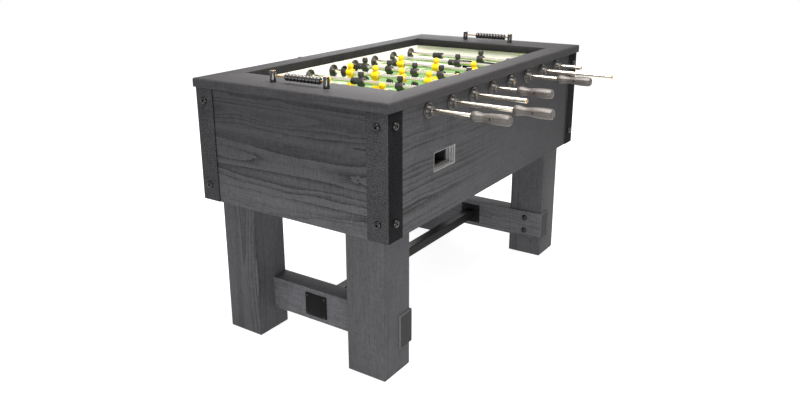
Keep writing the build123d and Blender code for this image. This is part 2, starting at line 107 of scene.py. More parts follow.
def newGroup(name, inputs, outputs):
    tree = bpy.data.node_groups.new(name, "ShaderNodeTree")
    for way, sockets in (("INPUT", inputs), ("OUTPUT", outputs)):
        for label, kind in sockets.items():
            tree.interface.new_socket(name=label, in_out=way, socket_type="NodeSocket" + kind)
    return tree, tree.nodes.new("NodeGroupInput").outputs, tree.nodes.new("NodeGroupOutput")


woodGrain = {
    "crinkle": (45.0, 90.0, 90.0), "crinkleShare": 0.08, "sway": (2.2, 5.0, 5.0), "swayReach": 0.045,
    "rings": (0.13, 11.0, 11.0), "ringDetail": 1.6, "ringRough": 0.45, "ringTwist": 0.1, "ringCount": 13.0,
    "ringFall": 2.2, "reach": (0.7, 4.4, 4.4), "lines": (3.0, 150.0, 150.0), "fibres": (38.0, 300.0, 300.0),
    "strokes": (380.0, 30.0, 30.0), "mottle": (7.0, 12.0, 12.0), "tone": 0.78, "slowShare": 0.14,
    "rough": (0.5, 0.68), "fineHeight": 0.5, "waveHeight": 0.4,
}


def stainedGrainGroup():
    # grain runs along X of the vector: slow dark waves, fine fibres, saw strokes across
    tree, given, result = newGroup(
        "stainedGrain",
        {"Vector": "Vector", "Dark": "Color", "Light": "Color", "Waves": "Float", "Fibres": "Float",
         "Strokes": "Float"},
        {"Color": "Color", "Roughness": "Float", "Height": "Float"})
    vector = given["Vector"]
    crinkle = times(tree, noise(tree, vector, woodGrain["crinkle"], 2.0), woodGrain["crinkleShare"])
    sway = plus(tree, noise(tree, vector, woodGrain["sway"], 2.0), crinkle)
    sway = times(tree, sway, woodGrain["swayReach"])
    moved = put(tree, "ShaderNodeCombineXYZ", {"Y": sway, "Z": sway}).outputs[0]
    swayed = put(tree, "ShaderNodeVectorMath", {0: vector, 1: moved}, operation="ADD").outputs[0]
    rings = noise(tree, swayed, woodGrain["rings"], woodGrain["ringDetail"], woodGrain["ringRough"],
                  woodGrain["ringTwist"])
    rings = sums(tree, "FRACT", times(tree, rings, woodGrain["ringCount"]))
    waves = sums(tree, "SUBTRACT", 1.0, sums(tree, "POWER", rings, woodGrain["ringFall"]))
    reach = fit(tree, noise(tree, vector, woodGrain["reach"], 1.0), 0.4, 0.58)
    lines = fit(tree, noise(tree, swayed, woodGrain["lines"], 2.0, 0.5), 0.34, 0.62)
    fibres = fit(tree, noise(tree, vector, woodGrain["fibres"], 3.0, 0.65), 0.36, 0.64)
    strokes = fit(tree, noise(tree, vector, woodGrain["strokes"], 3.0, 0.7), 0.36, 0.64)
    mottle = fit(tree, noise(tree, vector, woodGrain["mottle"], 3.0), 0.25, 0.75)
    dip = times(tree, sums(tree, "SUBTRACT", 1.0, waves), reach)
    tone = sums(tree, "SUBTRACT", woodGrain["tone"], times(tree, dip, given["Waves"]))
    for part, share in ((lines, woodGrain["slowShare"]), (mottle, woodGrain["slowShare"]),
                        (fibres, given["Fibres"]), (strokes, given["Strokes"])):
        tone = plus(tree, tone, times(tree, sums(tree, "SUBTRACT", part, 0.5), share))
    tone = fit(tree, tone, 0.0, 1.0)
    height = times(tree, plus(tree, fibres, strokes), woodGrain["fineHeight"])
    feed(tree, result, {
        "Color": blendColours(tree, tone, given["Dark"], given["Light"]),
        "Roughness": fit(tree, tone, 0.0, 1.0, *woodGrain["rough"]),
        "Height": plus(tree, height, times(tree, waves, woodGrain["waveHeight"]))})
    return tree


def speckleGroup():
    # granular coats and moulded skins: a colour, small specks and a slow drift in tone
    driftSize, driftShare, cellShare = 9.0, 0.18, 0.6
    tree, given, result = newGroup(
        "speckle",
        {"Vector": "Vector", "Base": "Color", "Speck": "Color", "Grain": "Float", "Amount": "Float",
         "Smooth": "Float", "Rough": "Float"},
        {"Color": "Color", "Roughness": "Float", "Height": "Float"})
    vector, smooth = given["Vector"], given["Smooth"]
    grains = put(tree, "ShaderNodeTexNoise", {
        "Vector": vector, "Scale": given["Grain"], "Detail": 2.0, "Roughness": 0.6}).outputs["Fac"]
    cells = put(tree, "ShaderNodeTexVoronoi", {"Vector": vector, "Scale": given["Grain"]}).outputs["Distance"]
    drift = fit(tree, noise(tree, vector, (driftSize, driftSize, driftSize), 3.0), 0.3, 0.7)
    amount = times(tree, fit(tree, grains, 0.42, 0.66), given["Amount"])
    amount = plus(tree, amount, times(tree, drift, driftShare))
    span = sums(tree, "SUBTRACT", given["Rough"], smooth)
    feed(tree, result, {
        "Color": blendColours(tree, amount, given["Base"], given["Speck"]),
        "Roughness": plus(tree, smooth, times(tree, span, drift)),
        "Height": plus(tree, grains, times(tree, cells, cellShare))})
    return tree


def settledDustGroup():
    # a faint pale film, more of it on faces that look up
    film, patchSize = (0.42, 0.4, 0.37, 1), 14.0
    tree, given, result = newGroup(
        "settledDust", {"Vector": "Vector", "Color": "Color", "Amount": "Float"}, {"Color": "Color"})
    patch = fit(tree, noise(tree, given["Vector"], (patchSize, patchSize, patchSize), 4.0, 0.65), 0.4, 0.75)
    upward = fit(tree, facing(tree)["Z"], 0.2, 1.0, 0.1, 0.8)
    mask = times(tree, plus(tree, upward, patch), given["Amount"])
    feed(tree, result, {"Color": blendColours(tree, mask, given["Color"], film)})
    return tree


stainedGrain = stainedGrainGroup()
speckle = speckleGroup()
settledDust = settledDustGroup()


def startMaterial(name):
    material = bpy.data.materials.new(name)
    material.use_nodes = True
    tree = material.node_tree
    place = put(tree, "ShaderNodeTexCoord").outputs["Object"]
    return material, tree, tree.nodes["Principled BSDF"], place


def useGroup(tree, group, inputs):
    return put(tree, "ShaderNodeGroup", inputs, node_tree=group).outputs


def addBump(tree, shader, height, strength, distance):
    bump = put(tree, "ShaderNodeBump", {"Height": height, "Strength": strength, "Distance": distance})
    feed(tree, shader, {"Normal": bump.outputs["Normal"]})


wood = {
    "dark": (0.0085, 0.0085, 0.0095, 1),
    "light": (0.072, 0.072, 0.0785),
    "turnX": (0.0, 0.0, 0.0),
    "turnY": (0.0, 0.0, math.pi / 2),
    "turnZ": (0.0, math.pi / 2, 0.0),
    "bump": 0.32,
    "relief": 0.0007,
    "shine": 0.12,
    "dust": 0.01,
    "fibres": 0.3,
    "heights": (0.56, 0.8),
    "reaches": (-0.5, 0.6),
}


def woodMaterial(name, turn, shift=(0.0, 0.0, 0.0), light=1.0, waves=0.6, strokes=0.34,
                 paintedTopShade=0.0, paintedFarShade=0.0):
    material, tree, shader, place = startMaterial(name)
    turned = put(tree, "ShaderNodeMapping", {
        "Vector": place, "Location": shift, "Rotation": turn}).outputs["Vector"]
    grain = useGroup(tree, stainedGrain, {
        "Vector": turned, "Dark": wood["dark"], "Light": tuple(c * light for c in wood["light"]) + (1,),
        "Waves": waves, "Fibres": wood["fibres"], "Strokes": strokes})
    # painted shade: the wood darkens towards the top (Z) and towards the far end (Y)
    spot = split(tree, place)
    paintedShadeMask = plus(tree, fit(tree, spot["Z"], *wood["heights"], 0.0, paintedTopShade),
                  fit(tree, spot["Y"], *wood["reaches"], 0.0, paintedFarShade))
    grainWithPaintedShade = blendColours(tree, paintedShadeMask, grain["Color"], wood["dark"])
    dusted = useGroup(tree, settledDust, {"Vector": place, "Color": grainWithPaintedShade, "Amount": wood["dust"]})
    feed(tree, shader, {"Base Color": dusted["Color"], "Roughness": grain["Roughness"],
                        "Specular IOR Level": wood["shine"]})
    addBump(tree, shader, grain["Height"], wood["bump"], wood["relief"])
    return material


def coatMaterial(name, base, speck, grain=900.0, amount=0.5, smooth=0.35, rough=0.55, metallic=0.0,
                 bump=0.2, relief=0.0002, coat=0.0, dust=0.004, specular=0.5):
    material, tree, shader, place = startMaterial(name)
    skin = useGroup(tree, speckle, {
        "Vector": place, "Base": base, "Speck": speck, "Grain": grain, "Amount": amount,
        "Smooth": smooth, "Rough": rough})
    dusted = useGroup(tree, settledDust, {"Vector": place, "Color": skin["Color"], "Amount": dust})
    feed(tree, shader, {
        "Base Color": dusted["Color"], "Roughness": skin["Roughness"], "Metallic": metallic,
        "Coat Weight": coat, "Coat Roughness": 0.12, "Specular IOR Level": specular})
    addBump(tree, shader, skin["Height"], bump, relief)
    return material


# the panels take painted shade towards their tops, and the side panels also towards the far end
endGrainWood = woodMaterial("charcoalWoodAcross", wood["turnX"], (0.3, 0.11, 0.02), waves=0.7, paintedTopShade=0.5)
sideWood = woodMaterial("charcoalWoodAlong", wood["turnY"], (0.7, 0.2, 0.045), waves=0.7, paintedTopShade=0.2,
                        paintedFarShade=0.5)
legWood = woodMaterial("charcoalWoodUpright", wood["turnZ"], (0.1, 0.37, 0.21), light=0.88, waves=0.5,
                       strokes=0.24)
# the top rails take a darker tone than the panels: painted shade on their upward faces
endRailWood = woodMaterial("charcoalWoodEndRail", wood["turnX"], (0.5, 0.3, 0.4), light=0.58, waves=0.3,
                           strokes=0.42)
sideRailWood = woodMaterial("charcoalWoodSideRail", wood["turnY"], (0.2, 0.6, 0.4), light=0.54, waves=0.3,
                            strokes=0.42)
# a darker wood for painted shade on the rails' inner faces
innerFaceShadeWood = woodMaterial("charcoalWoodInnerFaceShade", wood["turnX"], light=0.34, waves=0.4)
# the stretchers take a lighter tone than the other wood: painted light under the table
stretcherWood = woodMaterial("charcoalWoodStretcher", wood["turnX"], (0.9, 0.5, 0.7), light=1.4, waves=0.35,
                             strokes=0.28)
# the stretchers' end faces take a darker tone
stretcherEnd = woodMaterial("charcoalWoodDarkerEnd", wood["turnY"], light=0.4, waves=0.3)
underBoard = woodMaterial("undersideBoard", wood["turnY"], (0.4, 0.1, 0.9), light=0.7, waves=0.25)
powder = {"grain": 420.0, "smooth": 0.55, "rough": 0.75, "dust": 0.0, "bump": 0.6, "relief": 0.0008}
blackCoat = coatMaterial("blackPowderCoat", (0.009, 0.009, 0.0098, 1), (0.08, 0.08, 0.088, 1),
                         amount=0.75, specular=0.03, **powder)
# a darker copy of the powder coat: painted shade for the brackets' faces that look along X
shadedCoat = coatMaterial("blackPowderCoatShaded", rgb(0.002), (0.022, 0.022, 0.025, 1),
                          amount=0.6, specular=0.02, **powder)
plateBlack = coatMaterial("plateBlack", rgb(0.003), rgb(0.01), 500.0, 0.5, 0.4, 0.55, dust=0.0, bump=0.3,
                          specular=0.06)
blackSteel = coatMaterial("blackSteel", (0.006, 0.0055, 0.005, 1), (0.014, 0.012, 0.01, 1), 500.0, 0.4,
                          0.4, 0.55, bump=0.12, specular=0.12, dust=0.0)
boltBlack = coatMaterial("boltBlack", rgb(0.004), rgb(0.012, 0.05), 1500.0, 0.3, 0.12, 0.24, metallic=0.1,
                         bump=0.05, coat=0.1, dust=0.0, specular=0.3)
bearingBlack = coatMaterial("bearingBlack", rgb(0.011, 0.05), rgb(0.05, 0.12), 800.0, 0.45, 0.3, 0.5,
                            bump=0.14)
gripGrey = coatMaterial("gripGrey", rgb(0.03, 0.06), rgb(0.1, 0.14), 700.0, 0.6, 0.3, 0.42, bump=0.3,
                        coat=0.12, dust=0.0, specular=0.35)
bumperRubber = coatMaterial("bumperRubber", rgb(0.009), rgb(0.035, 0.08), 1100.0, 0.4, 0.42, 0.62)
beadBlack = coatMaterial("beadBlack", rgb(0.01), rgb(0.035), 1200.0, 0.3, 0.16, 0.3, bump=0.06, coat=0.5)
troughBlack = coatMaterial("troughBlack", rgb(0.01), rgb(0.02), 700.0, 0.4, 0.5, 0.7, bump=0.15)
glideBlack = coatMaterial("glideBlack", rgb(0.012), rgb(0.035), 900.0, 0.4, 0.45, 0.65, bump=0.15)
figureYellow = coatMaterial("figureYellow", (1.0, 0.56, 0.004, 1), (1.0, 0.68, 0.012, 1), 420.0, 0.5, 0.3,
                            0.45, bump=0.05, coat=0.15, dust=0.0, specular=0.3)
figureBlack = coatMaterial("figureBlack", rgb(0.012), rgb(0.045, 0.06), 500.0, 0.45, 0.24, 0.4, bump=0.06,
                           coat=0.3)
scorerMetal = coatMaterial("scorerMetal", (0.5, 0.3, 0.1, 1), (0.75, 0.5, 0.2, 1), 900.0, 0.5, 0.22, 0.36,
                           metallic=0.9, bump=0.06)
postBlack = coatMaterial("postBlack", rgb(0.006), rgb(0.02), 900.0, 0.3, 0.1, 0.2, bump=0.03, coat=0.8,
                         dust=0.0)
capBrass = coatMaterial("capBrass", (0.32, 0.2, 0.07, 1), (0.5, 0.33, 0.12, 1), 900.0, 0.5, 0.24, 0.4,
                        metallic=0.9, bump=0.06)


def chromeMaterial():
    material, tree, shader, place = startMaterial("rodChrome")
    turned = noise(tree, place, (1400.0, 6.0, 6.0), 2.0, 0.5)   # fine rings from the polishing wheel
    smear = fit(tree, noise(tree, place, (7.0, 40.0, 40.0), 4.0), 0.3, 0.75)
    streaks = plus(tree, times(tree, turned, 0.3), smear)
    feed(tree, shader, {
        "Base Color": blendColours(tree, smear, (0.96, 0.93, 0.86, 1), (0.82, 0.72, 0.55, 1)),
        "Roughness": fit(tree, streaks, 0.2, 1.2, 0.1, 0.24), "Metallic": 1.0})
    addBump(tree, shader, turned, 0.04, 0.0001)
    return material


cup = {"lip": (0.345, 0.351), "stepsPerMetre": 120.0, "stepEdge": (0.62, 0.72), "stepShade": 0.3,
       "backFacing": (0.8, 0.95), "backShade": 0.22, "metal": 0.5}


def silverCupMaterial():
    # painted shade: silver on the walls near the mouth, painted dark on the lip and towards the back of the
    # cup, with painted dark rings at the steps
    material, tree, shader, place = startMaterial("cupSilver")
    inward = sums(tree, "ABSOLUTE", split(tree, place)["X"])
    depth = fit(tree, inward, *cup["lip"])
    saw = sums(tree, "FRACT", times(tree, inward, cup["stepsPerMetre"]))
    steps = fit(tree, saw, *cup["stepEdge"], 1.0, cup["stepShade"])
    wall = fit(tree, sums(tree, "ABSOLUTE", facing(tree)["X"]), *cup["backFacing"], 1.0, cup["backShade"])
    paintedLightMask = times(tree, times(tree, depth, wall), steps)
    cast = fit(tree, noise(tree, place, (260.0, 260.0, 260.0), 3.0), 0.3, 0.7)
    silver = blendColours(tree, cast, (0.34, 0.34, 0.35, 1), (0.56, 0.55, 0.54, 1))
    feed(tree, shader, {
        "Base Color": blendColours(tree, paintedLightMask, (0.012, 0.012, 0.013, 1), silver),
        "Metallic": times(tree, paintedLightMask, cup["metal"]), "Roughness": fit(tree, cast, 0.0, 1.0, 0.3, 0.46)})
    addBump(tree, shader, cast, 0.1, 0.0002)
    return material


def laminateMaterial():
    material, tree, shader, place = startMaterial("whiteLaminate")
    scuffs = fit(tree, noise(tree, place, (18.0, 18.0, 60.0), 5.0, 0.7), 0.5, 0.8)
    pores = noise(tree, place, (900.0, 900.0, 900.0), 2.0)
    feed(tree, shader, {
        "Base Color": blendColours(tree, scuffs, (0.97, 0.94, 0.9, 1), (0.9, 0.85, 0.79, 1)),
        "Roughness": fit(tree, scuffs, 0.0, 1.0, 0.32, 0.5)})
    addBump(tree, shader, pores, 0.06, 0.0002)
    return material


field = {"line": 0.0035, "circle": 0.095, "spot": 0.004, "endGap": 0.018, "areaHalf": 0.16,
         "areaDepth": 0.11, "boxHalf": 0.235, "boxDepth": 0.2}


def fieldMaterial():
    # green board with a centre line, centre circle and goal areas, all from object coordinates
    material, tree, shader, place = startMaterial("fieldPrint")
    across = sums(tree, "ABSOLUTE", split(tree, place)["X"])
    along = sums(tree, "ABSOLUTE", split(tree, place)["Y"])
    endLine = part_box("playfield")[1].y - field["endGap"]

    def near(value, target):
        gap = sums(tree, "ABSOLUTE", sums(tree, "SUBTRACT", value, target))
        return fit(tree, gap, field["line"] * 0.5, field["line"] * 0.7, 1.0, 0.0)

    def below(value, limit):
        return sums(tree, "LESS_THAN", value, limit + field["line"] * 0.5)

    def above(value, limit):
        return sums(tree, "GREATER_THAN", value, limit - field["line"] * 0.5)

    radius = sums(tree, "SQRT", plus(tree, times(tree, across, across), times(tree, along, along)))
    lines = [near(along, 0.0), near(radius, field["circle"]), below(radius, field["spot"]),
             near(along, endLine)]
    for half, deep in ((field["areaHalf"], field["areaDepth"]), (field["boxHalf"], field["boxDepth"])):
        front = endLine - deep
        lines.append(times(tree, near(along, front), below(across, half)))
        lines.append(times(tree, near(across, half), above(along, front)))
    mask = lines[0]
    for line in lines[1:]:
        mask = sums(tree, "MAXIMUM", mask, line)
    wear = fit(tree, noise(tree, place, (30.0, 60.0, 60.0), 4.0, 0.65), 0.3, 0.75)
    fine = noise(tree, place, (800.0, 800.0, 800.0), 2.0)
    green = blendColours(tree, wear, (0.075, 0.19, 0.045, 1), (0.115, 0.255, 0.075, 1))
    feed(tree, shader, {
        "Base Color": blendColours(tree, mask, green, (0.82, 0.81, 0.75, 1)),
        "Roughness": fit(tree, wear, 0.0, 1.0, 0.3, 0.44)})
    addBump(tree, shader, fine, 0.05, 0.0001)
    return material


rodChrome = chromeMaterial()
cupSilver = silverCupMaterial()
whiteLaminate = laminateMaterial()
fieldPrint = fieldMaterial()
print("materials made")


# the forms below are in millimetres until a piece is finished

def shift(bm, verts, by):
    bmesh.ops.translate(bm, verts=verts, vec=Vector(by))


def addBox(bm, low, high):
    made = bmesh.ops.create_cube(bm, size=1.0)["verts"]
    low, high = Vector(low), Vector(high)
    bmesh.ops.scale(bm, vec=[abs(c) for c in high - low], verts=made)
    shift(bm, made, (low + high) / 2)
    return made


def boxBetween(bm, a, b):
    return addBox(bm, [min(p, q) for p, q in zip(a, b)], [max(p, q) for p, q in zip(a, b)])


def addTaper(bm, axis, start, end, r1, r2, segments=32, centre=(0, 0)):
    # a cylinder or cone along an axis; centre gives the other two coordinates
    made = bmesh.ops.create_cone(bm, cap_ends=True, segments=segments, radius1=r1, radius2=r2,
                                 depth=abs(end - start))["verts"]
    flip = end < start
    if axis == "X":
        turn = Matrix.Rotation(math.radians(-90 if flip else 90), 3, "Y")
        middle = ((start + end) / 2, centre[0], centre[1])
    elif axis == "Y":
        turn = Matrix.Rotation(math.radians(90 if flip else -90), 3, "X")
        middle = (centre[0], (start + end) / 2, centre[1])
    else:
        turn = Matrix.Rotation(math.pi if flip else 0, 3, "X")
        middle = (centre[0], centre[1], (start + end) / 2)
    bmesh.ops.rotate(bm, cent=(0, 0, 0), matrix=turn, verts=made)
    shift(bm, made, middle)
    return made


def bevelEdges(bm, edges, offset, segments=2):
    return bmesh.ops.bevel(bm, geom=list(edges), offset=offset, segments=segments, profile=0.5,
                           affect="EDGES", material=-1, clamp_overlap=True)


def sharpEdges(bm, angle):
    limit = math.radians(angle)
    return [e for e in bm.edges if len(e.link_faces) == 2 and e.calc_face_angle(0) > limit]


def spun(points, steps, ring=False):
    # turns a profile of (x, radius) points round the X axis into a closed shell
    bm = bmesh.new()
    verts = [bm.verts.new((x, 0, r)) for x, r in points]
    pairs = list(zip(verts, verts[1:])) + ([(verts[-1], verts[0])] if ring else [])
    edges = [bm.edges.new(pair) for pair in pairs]
    bmesh.ops.spin(bm, geom=verts + edges, cent=(0, 0, 0), axis=(1, 0, 0), dvec=(0, 0, 0),
                   angle=2 * math.pi, steps=steps, use_merge=True, use_duplicate=False)
    bmesh.ops.remove_doubles(bm, verts=bm.verts[:], dist=0.001)
    bmesh.ops.recalc_face_normals(bm, faces=bm.faces[:])
    return bm


def joinInto(bm, other, matrix=Matrix.Identity(4), index=None):
    # copies another form into this one, placed by a matrix
    form = bpy.data.meshes.new("form")
    other.to_mesh(form)
    before = len(bm.faces)
    start = len(bm.verts)
    bm.from_mesh(form)
    bpy.data.meshes.remove(form)
    bm.verts.ensure_lookup_table()
    bm.faces.ensure_lookup_table()
    added = bm.verts[start:]
    bmesh.ops.transform(bm, matrix=matrix, verts=added)
    if matrix.determinant() < 0:
        bmesh.ops.reverse_faces(bm, faces=bm.faces[before:])
    if index is not None:
        for face in bm.faces[before:]:
            face.material_index = index
    return added


def at(x, y, z, turn=None):
    placed = Matrix.Translation((x, y, z))
    return placed @ turn if turn else placed


def turnTo(axis):
    # turns a form that points along +X so that it points along the given axis
    return Vector((1, 0, 0)).rotation_difference(Vector(axis)).to_matrix().to_4x4()


def addObject(name, data):
    made = bpy.data.objects.new(name, data)
    bpy.context.scene.collection.objects.link(made)
    return made


def formObject(name, bm):
    # a scene object that holds a form; the form itself is freed
    mesh = bpy.data.meshes.new(name)
    bm.to_mesh(mesh)
    bm.free()
    return addObject(name, mesh)


def cut(bm, cutter):
    # takes one closed form away from another and returns the result
    scratch = [formObject("scratch", part) for part in (bm, cutter)]
    knife = scratch[0].modifiers.new("cut", "BOOLEAN")
    knife.operation, knife.solver, knife.object = "DIFFERENCE", "EXACT", scratch[1]
    return bakedForm(scratch)


def bakedForm(scratch):
    # the first scratch object with its modifiers applied, as a new form
    bpy.context.view_layer.update()
    shape = scratch[0].evaluated_get(bpy.context.evaluated_depsgraph_get())
    made = bmesh.new()
    made.from_mesh(shape.to_mesh())
    shape.to_mesh_clear()
    for holder in scratch:
        mesh = holder.data
        bpy.data.objects.remove(holder)
        bpy.data.meshes.remove(mesh)
    return made


touch = 0.01             # how near counts as at the same level
square = 0.9             # cosine of the widest tilt that still counts as facing a direction


def markFacesAcross(bm):
    # the faces that look along X take a piece's second material
    for face in bm.faces:
        if abs(face.normal.x) > square:
            face.material_index = 1


def finishPiece(name, bm, materials, body, replaced=(), smoothAngle=35):
    bmesh.ops.scale(bm, vec=(mm, mm, mm), verts=bm.verts[:])
    piece = formObject(name, bm)
    mesh = piece.data
    mesh.polygons.foreach_set("use_smooth", [True] * len(mesh.polygons))
    mesh.set_sharp_from_angle(angle=math.radians(smoothAngle))
    for material in materials:
        mesh.materials.append(material)
    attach(piece, body)
    if replaced:
        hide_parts(*replaced)
    return piece


def boxOf(node):
    low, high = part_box(node)
    return low / mm, high / mm


def dress(nodeName, material):
    # gives a carried-over node its finish
    slots = nodes[nodeName].data.materials
    if len(slots) == 0:
        slots.append(material)
    for index in range(len(slots)):
        slots[index] = material


for nodeName, material in {
    "panel_near": endGrainWood, "panel_far": endGrainWood, "panel_left": sideWood, "panel_right": sideWood,
    "side_liners": whiteLaminate, "end_liners": whiteLaminate, "playfield": fieldPrint,
    "bottom_board": underBoard, "leg_glides": glideBlack, "centre_bar": blackSteel,
    "ball_return_cups": cupSilver, "ball_troughs": troughBlack,
}.items():
    dress(nodeName, material)
print("carried-over nodes dressed")

rail = {"outerRound": 7.0, "innerRound": 2.5, "arris": 0.45, "alongCosine": 0.99, "outerBand": 1.0,
        "innerBand": 20.0}
halfWidth, halfLength = boxOf("rail_right")[1].x, boxOf("rail_far")[1].y
openX, openY = boxOf("rail_right")[0].x, boxOf("rail_far")[0].y
railLow, railTop = boxOf("rail_near")[0].z, boxOf("rail_near")[1].z


def buildRail(nodeName, direction, material):
    # a mitred rail; direction points from the middle of the table out through it
    out = Vector(direction)
    side = Vector((-out.y, out.x, 0))
    bm = bmesh.new()
    corners = []
    for reach, edge in ((1, -1), (1, 1), (0, 1), (0, -1)):
        x, y = (halfWidth, halfLength) if reach else (openX, openY)
        spot = Vector(((out.x + side.x * edge) * x, (out.y + side.y * edge) * y, railLow))
        corners.append(bm.verts.new(spot))
    base = bm.faces.new(corners)
    raised = bmesh.ops.extrude_face_region(bm, geom=[base])["geom"]
    shift(bm, [v for v in raised if isinstance(v, bmesh.types.BMVert)], (0, 0, railTop - railLow))
    bmesh.ops.recalc_face_normals(bm, faces=bm.faces[:])
    reach = halfWidth if out.x else halfLength
    for far, size, segments in ((True, rail["outerRound"], 7), (False, rail["innerRound"], 3)):
        chosen = []
        for edge in bm.edges:
            first, last = [v.co for v in edge.verts]
            level = min(first.z, last.z) > railTop - touch
            along = abs((first - last).normalized().dot(side)) > rail["alongCosine"]
            gap = reach - first.dot(out)
            if level and along and (gap < rail["outerBand"] if far else gap > rail["innerBand"]):
                chosen.append(edge)
        bevelEdges(bm, chosen, size, segments)
    bevelEdges(bm, sharpEdges(bm, 40), rail["arris"], 1)
    # faces that look in towards the field take the darker wood: painted shade
    for face in bm.faces:
        face.material_index = 1 if face.normal.dot(out) < -square else 0
    finishPiece(nodeName.replace("rail", "topRail"), bm, [material, innerFaceShadeWood], "table",
                [nodeName])


for end, sign in (("near", -1), ("far", 1)):
    buildRail("rail_" + end, (0, sign, 0), endRailWood)
for side, sign in (("right", 1), ("left", -1)):
    buildRail("rail_" + side, (sign, 0, 0), sideRailWood)
print("top rails made")

legSize = {"width": 144.0, "depth": 141.0, "foot": 4.0, "edge": 2.2, "endBevel": 3.6, "longEdge": 1.6}
legLow, legHigh = boxOf("legs")
longEnough = 100.0       # only a piece's long edges span more than this


def quarters():
    for sx in (-1, 1):
        for sy in (-1, 1):
            yield sx, sy


def buildLegs():
    bm = bmesh.new()
    for sx, sy in quarters():
        boxBetween(bm, (sx * legHigh.x, sy * legHigh.y, legLow.z),
                   (sx * (legHigh.x - legSize["width"]), sy * (legHigh.y - legSize["depth"]), legHigh.z))
    upright = [e for e in bm.edges if abs(e.verts[0].co.z - e.verts[1].co.z) > longEnough]
    bevelEdges(bm, upright, legSize["edge"], 3)
    foot = [e for e in bm.edges if all(v.co.z < legLow.z + touch for v in e.verts)]
    bevelEdges(bm, foot, legSize["foot"], 2)
    notches = bmesh.new()
    for name in ("stretcher_near", "stretcher_far"):
        addBox(notches, *boxOf(name))
    finishPiece("squareLegs", cut(bm, notches), [legWood], "table", ["legs"])


def buildStretcher(nodeName):
    low, high = boxOf(nodeName)
    bm = bmesh.new()
    addBox(bm, low, high)
    ends = [e for e in bm.edges if abs(e.verts[0].co.x - e.verts[1].co.x) < touch]
    bevelEdges(bm, ends, legSize["endBevel"], 1)
    longEdges = [e for e in bm.edges if abs(e.verts[0].co.x - e.verts[1].co.x) > longEnough]
    bevelEdges(bm, longEdges, legSize["longEdge"], 3)
    markFacesAcross(bm)
    finishPiece(nodeName.replace("stretcher", "legStretcher"), bm, [stretcherWood, stretcherEnd], "table",
                [nodeName])


buildLegs()
buildStretcher("stretcher_near")
buildStretcher("stretcher_far")
print("legs and stretchers made")

bracket = {"leg": 75.0, "thickness": 4.0, "fold": 2.6, "edge": 0.8,
           "boltInset": 36.5, "boltMargin": 42.0, "boltLift": 55.0}
boltSize = {"radius": 12.5, "height": 8.0, "socket": 4.4, "depth": 4.6, "shank": 4.0, "rise": 29.0,
            "bracketLength": 26.0, "barLength": 95.0}
screwSize = {"radius": 4.5, "height": 2.0, "socket": 1.6, "depth": 1.2, "shank": 2.2, "inset": 8.0,
             "length": 22.0}
button = {"flat": 1.4, "skirt": 0.96, "rim": 0.14, "arc": 7}
bracketLow, bracketHigh = boxOf("corner_brackets")


def buildBrackets():
    bm = bmesh.new()
    outX, outY = bracketHigh.x, bracketHigh.y
    leg, wall = bracket["leg"], bracket["thickness"]
    for sx, sy in quarters():
        outline = [(outX, outY), (outX - leg, outY), (outX - leg, outY - wall), (outX - wall, outY - wall),
                   (outX - wall, outY - leg), (outX, outY - leg)]
        base = bm.faces.new([bm.verts.new((sx * x, sy * y, bracketLow.z)) for x, y in outline])
        raised = bmesh.ops.extrude_face_region(bm, geom=[base])["geom"]
        shift(bm, [v for v in raised if isinstance(v, bmesh.types.BMVert)],
              (0, 0, bracketHigh.z - bracketLow.z))
    bmesh.ops.recalc_face_normals(bm, faces=bm.faces[:])
    folds = [e for e in bm.edges
             if all(abs(v.co.x) > outX - touch and abs(v.co.y) > outY - touch for v in e.verts)]
    bevelEdges(bm, folds, bracket["fold"], 5)
    bevelEdges(bm, sharpEdges(bm, 50), bracket["edge"], 2)
    bm.normal_update()
    # faces that look along X take the darker coat: painted shade
    markFacesAcross(bm)
    finishPiece("cornerBrackets", bm, [blackCoat, shadedCoat], "table", ["corner_brackets"])


def buildPlates():
    low, high = boxOf("bar_plates")
    thickness = bracket["thickness"]
    inner, outer = boxOf("stretcher_far")[0].y, boxOf("stretcher_far")[1].y
    bm = bmesh.new()
    for sy in (-1, 1):
        for start in (inner - thickness, outer):
            boxBetween(bm, (low.x, sy * start, low.z), (high.x, sy * (start + thickness), high.z))
    bevelEdges(bm, bm.edges[:], bracket["edge"], 2)
    finishPiece("barPlates", bm, [plateBlack], "table", ["bar_plates"])


def headForm(size, shank, steps):
    # a button head with a hexagon socket; it stands on +X and its shank goes to -X
    radius, height = size["radius"], size["height"]
    flat = size["socket"] * button["flat"]
    profile = [(-shank, 0), (-shank, size["shank"]), (0, size["shank"]), (0, radius * button["skirt"])]
    for turn in range(button["arc"] + 1):
        angle = math.radians(turn * 90 / button["arc"])
        rise = button["rim"] + (1 - button["rim"]) * math.sin(angle)
        profile.append((height * rise, flat + (radius - flat) * math.cos(angle)))
    profile.append((height, 0))
    form = spun(profile, steps)
    socket = bmesh.new()
    addTaper(socket, "X", height - size["depth"], height + 1, size["socket"], size["socket"], 6)
    return cut(form, socket)


def buildBolts():
    bm = bmesh.new()
    short = headForm(boltSize, boltSize["bracketLength"], 36)
    longer = headForm(boltSize, boltSize["barLength"], 36)
    levels = (bracketHigh.z - bracket["boltMargin"], bracketLow.z + bracket["boltLift"])
    inX, inY = bracketHigh.x - bracket["boltInset"], bracketHigh.y - bracket["boltInset"]
    low, high = boxOf("stretcher_far")
    legX = legHigh.x - legSize["width"] / 2
    middle = (low.z + high.z) / 2
    for sx, sy in quarters():
        for z in levels:
            joinInto(bm, short, at(sx * inX, sy * bracketHigh.y, z, turnTo((0, sy, 0))))
            joinInto(bm, short, at(sx * bracketHigh.x, sy * inY, z, turnTo((sx, 0, 0))))
        for rise in (-boltSize["rise"], boltSize["rise"]):
            joinInto(bm, longer, at(sx * legX, sy * low.y, middle + rise, turnTo((0, -sy, 0))))
    finishPiece("domeBolts", bm, [boltBlack], "table", ["dome_bolts"])


